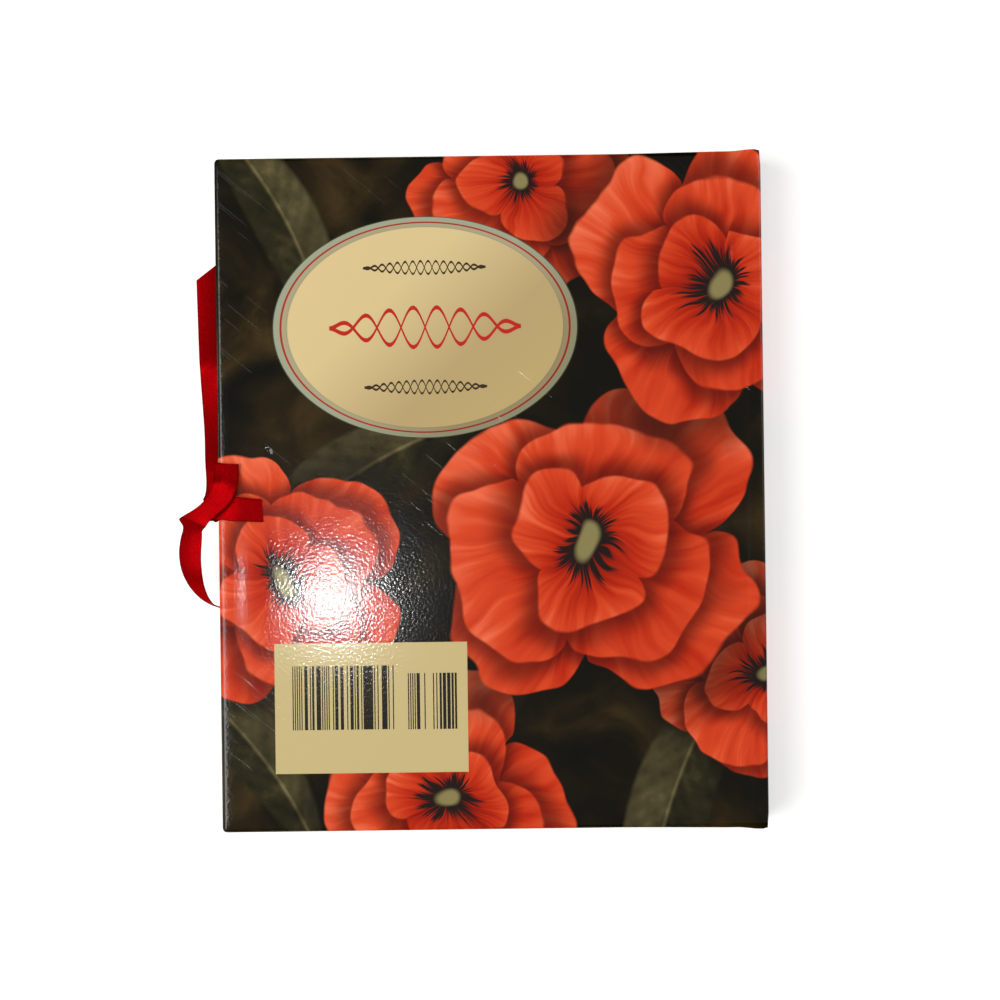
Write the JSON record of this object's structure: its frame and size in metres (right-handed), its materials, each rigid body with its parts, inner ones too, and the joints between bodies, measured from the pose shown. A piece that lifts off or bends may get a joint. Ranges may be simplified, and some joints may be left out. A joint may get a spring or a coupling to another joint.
{
  "type": "address book",
  "caption": "Small hard-bound address book with boards, spine, sewn sections, thumb-indexed leaves and a satin ribbon tied at the fore-edge.",
  "frame": {"origin": "under the middle of the book, on the surface it lies on", "axes": "+X from the fore-edge to the spine, +Y from tail to head, +Z from the front cover to the back cover"},
  "size_m": [0.1533, 0.1766, 0.0204],
  "materials": {
    "greyboard": "bare grey board",
    "cover_paper": "printed paper with a gloss laminate",
    "endpaper": "smooth uncoated paper",
    "page_paper": "uncoated paper",
    "lining_cloth": "open-weave cloth",
    "band_cloth": "corded cotton",
    "thread": "waxed linen",
    "ribbon_satin": "satin weave"
  },
  "bodies": {
    "book_block": {"spine_board": "greyboard", "spine_cover_paper": "cover_paper", "front_joint_paper": "cover_paper", "front_inner_hinge": "lining_cloth", "back_joint_paper": "cover_paper", "back_inner_hinge": "lining_cloth", "birthday_section_1": "page_paper", "birthday_section_2": "page_paper", "birthday_section_3": "page_paper", "birthday_section_4": "page_paper", "birthday_section_5": "page_paper", "bound_edge": "page_paper", "sewing_thread": "thread", "spine_lining": "lining_cloth", "headband": "band_cloth", "tailband": "band_cloth"},
    "back_cover": {"back_board": "greyboard", "back_cover_paper": "cover_paper", "back_pastedown": "endpaper", "back_ribbon": "ribbon_satin", "front_ribbon_bow": "ribbon_satin"},
    "front_cover": {"front_board": "greyboard", "front_cover_paper": "cover_paper", "front_pastedown": "endpaper", "front_ribbon_tape": "ribbon_satin"},
    "back_flyleaf": {"back_flyleaf": "endpaper"},
    "front_flyleaf": {"front_flyleaf": "endpaper"},
    "index_leaf_01": {"index_leaf_01": "page_paper"},
    "index_leaf_02": {"index_leaf_02": "page_paper"},
    "index_leaf_03": {"index_leaf_03": "page_paper"},
    "index_leaf_04": {"index_leaf_04": "page_paper"},
    "index_leaf_05": {"index_leaf_05": "page_paper"},
    "index_leaf_06": {"index_leaf_06": "page_paper"},
    "index_leaf_07": {"index_leaf_07": "page_paper"},
    "index_leaf_08": {"index_leaf_08": "page_paper"},
    "index_leaf_09": {"index_leaf_09": "page_paper"},
    "index_leaf_10": {"index_leaf_10": "page_paper"},
    "index_leaf_11": {"index_leaf_11": "page_paper"},
    "index_leaf_12": {"index_leaf_12": "page_paper"}
  },
  "joints": [
    {"name": "back_cover_hinge", "type": "hinge", "parent": "book_block", "child": "back_cover", "pos_m": [0.067, 0, 0.01842], "axis": [0, 1, 0], "range_deg": [0, 179.5], "deforming": ["back_joint_paper", "back_inner_hinge"]},
    {"name": "front_cover_hinge", "type": "hinge", "parent": "book_block", "child": "front_cover", "pos_m": [0.06758, 0, 0.00305], "axis": [0, -1, 0], "range_deg": [0, 179.5], "deforming": ["front_joint_paper", "front_inner_hinge"]},
    {"name": "back_flyleaf_turn", "type": "hinge", "parent": "book_block", "child": "back_flyleaf", "pos_m": [0.067, 0, 0.01842], "axis": [0, 1, 0], "range_deg": [0, 175]},
    {"name": "front_flyleaf_turn", "type": "hinge", "parent": "book_block", "child": "front_flyleaf", "pos_m": [0.06758, 0, 0.00305], "axis": [0, -1, 0], "range_deg": [0, 179.1]},
    {"name": "index_leaf_01_turn", "type": "hinge", "parent": "book_block", "child": "index_leaf_01", "pos_m": [0.067, 0, 0.01842], "axis": [0, 1, 0], "range_deg": [0, 12]},
    {"name": "index_leaf_02_turn", "type": "hinge", "parent": "book_block", "child": "index_leaf_02", "pos_m": [0.067, 0, 0.01842], "axis": [0, 1, 0], "range_deg": [0, 24]},
    {"name": "index_leaf_03_turn", "type": "hinge", "parent": "book_block", "child": "index_leaf_03", "pos_m": [0.067, 0, 0.01842], "axis": [0, 1, 0], "range_deg": [0, 37]},
    {"name": "index_leaf_04_turn", "type": "hinge", "parent": "book_block", "child": "index_leaf_04", "pos_m": [0.067, 0, 0.01842], "axis": [0, 1, 0], "range_deg": [0, 51]},
    {"name": "index_leaf_05_turn", "type": "hinge", "parent": "book_block", "child": "index_leaf_05", "pos_m": [0.067, 0, 0.01842], "axis": [0, 1, 0], "range_deg": [0, 66]},
    {"name": "index_leaf_06_turn", "type": "hinge", "parent": "book_block", "child": "index_leaf_06", "pos_m": [0.067, 0, 0.01842], "axis": [0, 1, 0], "range_deg": [0, 82]},
    {"name": "index_leaf_07_turn", "type": "hinge", "parent": "book_block", "child": "index_leaf_07", "pos_m": [0.067, 0, 0.01842], "axis": [0, 1, 0], "range_deg": [0, 98]},
    {"name": "index_leaf_08_turn", "type": "hinge", "parent": "book_block", "child": "index_leaf_08", "pos_m": [0.067, 0, 0.01842], "axis": [0, 1, 0], "range_deg": [0, 114]},
    {"name": "index_leaf_09_turn", "type": "hinge", "parent": "book_block", "child": "index_leaf_09", "pos_m": [0.067, 0, 0.01842], "axis": [0, 1, 0], "range_deg": [0, 129]},
    {"name": "index_leaf_10_turn", "type": "hinge", "parent": "book_block", "child": "index_leaf_10", "pos_m": [0.067, 0, 0.01842], "axis": [0, 1, 0], "range_deg": [0, 143]},
    {"name": "index_leaf_11_turn", "type": "hinge", "parent": "book_block", "child": "index_leaf_11", "pos_m": [0.067, 0, 0.01842], "axis": [0, 1, 0], "range_deg": [0, 156]},
    {"name": "index_leaf_12_turn", "type": "hinge", "parent": "book_block", "child": "index_leaf_12", "pos_m": [0.067, 0, 0.01842], "axis": [0, 1, 0], "range_deg": [0, 167]}
  ],
  "couplings": [
    {"joint": "back_flyleaf_turn", "follows": "back_cover_hinge", "ratio": 0.97493},
    {"joint": "front_flyleaf_turn", "follows": "front_cover_hinge", "ratio": 0.9977},
    {"joint": "index_leaf_01_turn", "follows": "back_cover_hinge", "ratio": 0.066852},
    {"joint": "index_leaf_02_turn", "follows": "back_cover_hinge", "ratio": 0.1337},
    {"joint": "index_leaf_03_turn", "follows": "back_cover_hinge", "ratio": 0.20613},
    {"joint": "index_leaf_04_turn", "follows": "back_cover_hinge", "ratio": 0.28412},
    {"joint": "index_leaf_05_turn", "follows": "back_cover_hinge", "ratio": 0.36769},
    {"joint": "index_leaf_06_turn", "follows": "back_cover_hinge", "ratio": 0.45682},
    {"joint": "index_leaf_07_turn", "follows": "back_cover_hinge", "ratio": 0.54596},
    {"joint": "index_leaf_08_turn", "follows": "back_cover_hinge", "ratio": 0.6351},
    {"joint": "index_leaf_09_turn", "follows": "back_cover_hinge", "ratio": 0.71866},
    {"joint": "index_leaf_10_turn", "follows": "back_cover_hinge", "ratio": 0.79666},
    {"joint": "index_leaf_11_turn", "follows": "back_cover_hinge", "ratio": 0.86908},
    {"joint": "index_leaf_12_turn", "follows": "back_cover_hinge", "ratio": 0.93036}
  ]
}
